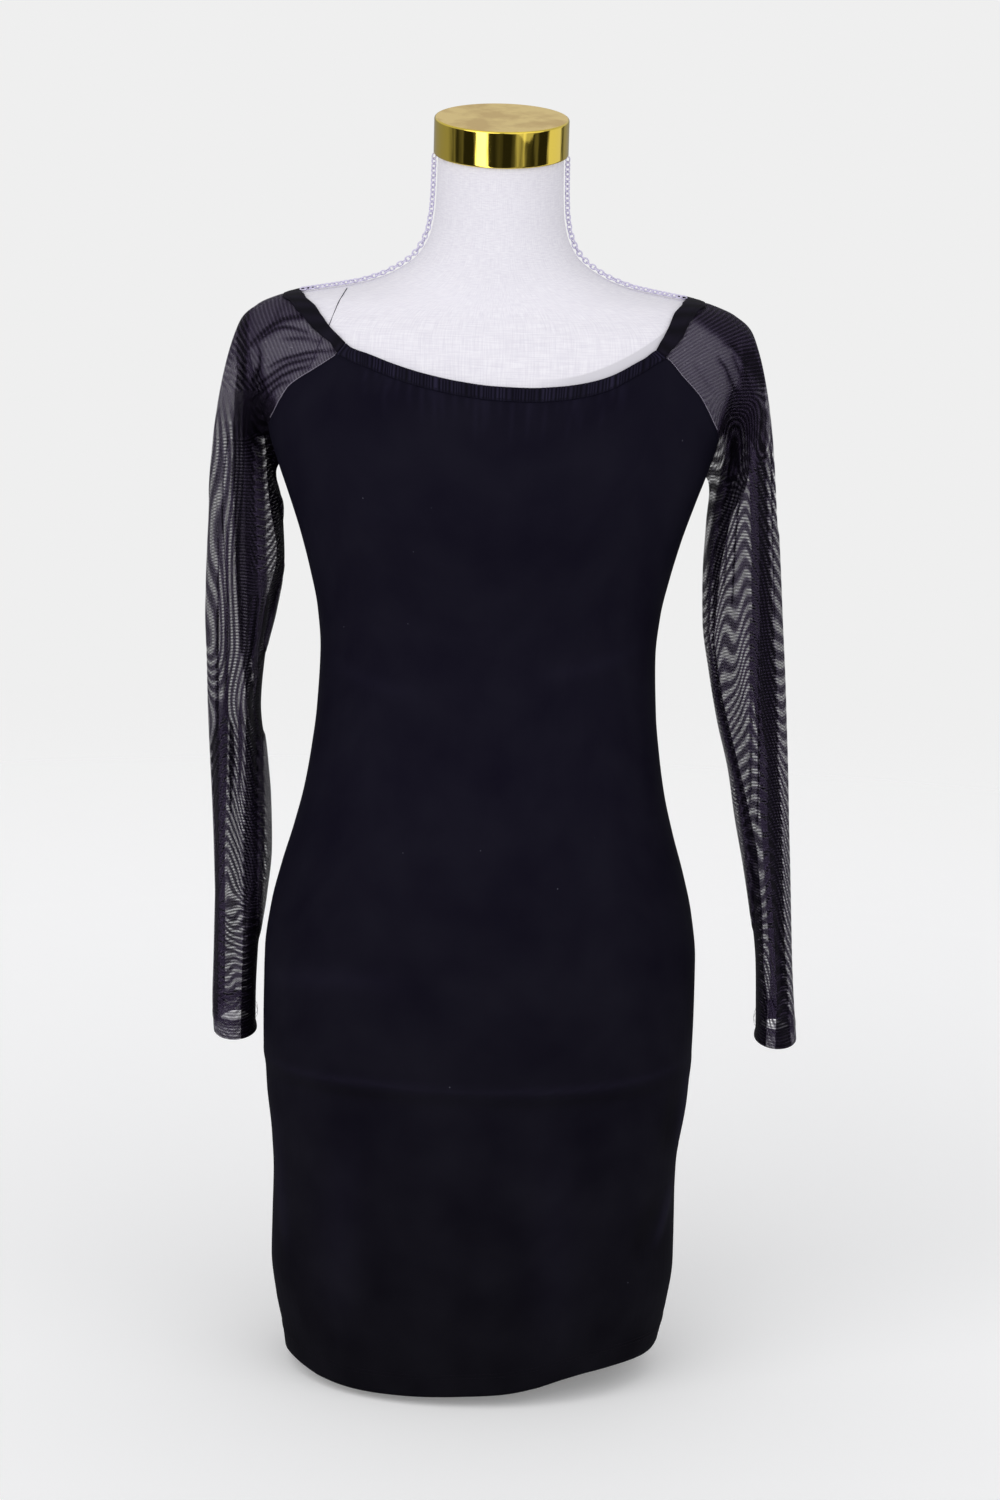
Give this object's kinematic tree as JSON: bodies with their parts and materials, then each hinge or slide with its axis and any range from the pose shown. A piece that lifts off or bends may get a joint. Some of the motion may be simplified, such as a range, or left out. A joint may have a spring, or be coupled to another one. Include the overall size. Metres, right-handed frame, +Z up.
{
  "type": "long-sleeve dress on a dress form",
  "caption": "Knee-length jersey dress with sheer raglan sleeves and a wide gathered neckline, worn by a limbless dress form on a low stand.",
  "frame": {"origin": "centre of the underside of the stand's round base, on the floor under the form's neck", "axes": "+Z up, the dress's front faces -Y, +X is to the right of a viewer who looks at the front"},
  "size_m": [0.483, 0.254, 1.0198],
  "materials": {
    "jersey": "black-navy cotton jersey, matt with a slight sheen",
    "net": "sheer black stretch mesh",
    "form_cover": "white woven cotton cover",
    "cap": "polished gold plating, brushed top",
    "piping": "pale braided cord",
    "stand": "dark powder coat"
  },
  "bodies": {
    "root": {"front_panel": "jersey", "back_panel": "jersey", "front_neck_casing": "jersey", "back_neck_casing": "jersey", "sleeve_left": "net", "sleeve_right": "net", "shoulder_band_left": "net", "shoulder_band_right": "net", "form_torso": "form_cover", "neck_cap": "cap", "form_piping_left": "piping", "form_piping_right": "piping", "form_flange": "stand", "stand_post": "stand", "stand_base": "stand"}
  },
  "joints": []
}
